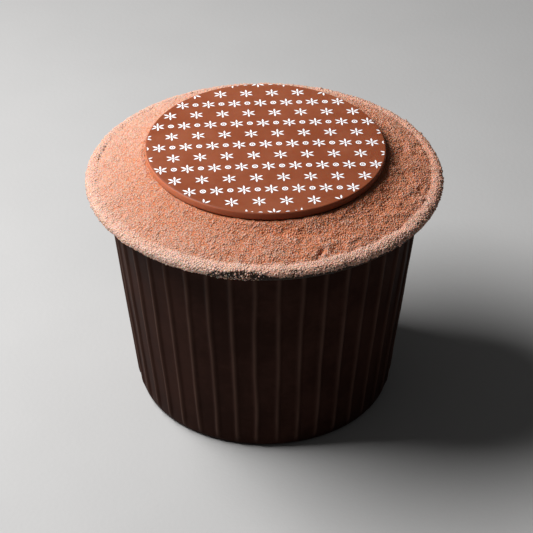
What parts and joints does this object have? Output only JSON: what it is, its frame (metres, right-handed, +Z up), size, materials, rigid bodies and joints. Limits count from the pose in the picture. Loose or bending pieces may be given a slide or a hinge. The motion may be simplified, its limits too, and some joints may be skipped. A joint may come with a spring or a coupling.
{
  "type": "chocolate mousse",
  "caption": "Round chocolate mousse in a ribbed dark chocolate cup, its powder-dusted cap bulging over the rim, with a thin round milk chocolate plaque lying on top.",
  "frame": {"origin": "centre of the cup's flat base, on the surface that it stands on", "axes": "+Z up through the middle of the cup, towards the plaque; the plaque is lowest towards -Y and a little towards +X"},
  "size_m": [0.076, 0.076, 0.0594],
  "materials": {
    "dark_chocolate": "satin dark chocolate, smooth and moulded",
    "dusted_mousse": "matt salmon-brown powder in fine grains over dark mousse",
    "milk_chocolate": "satin milk chocolate",
    "white_print": "matt white cocoa-butter print"
  },
  "bodies": {
    "root": {"cup": "dark_chocolate", "mousse": "dusted_mousse", "plaque": "milk_chocolate"}
  },
  "joints": []
}
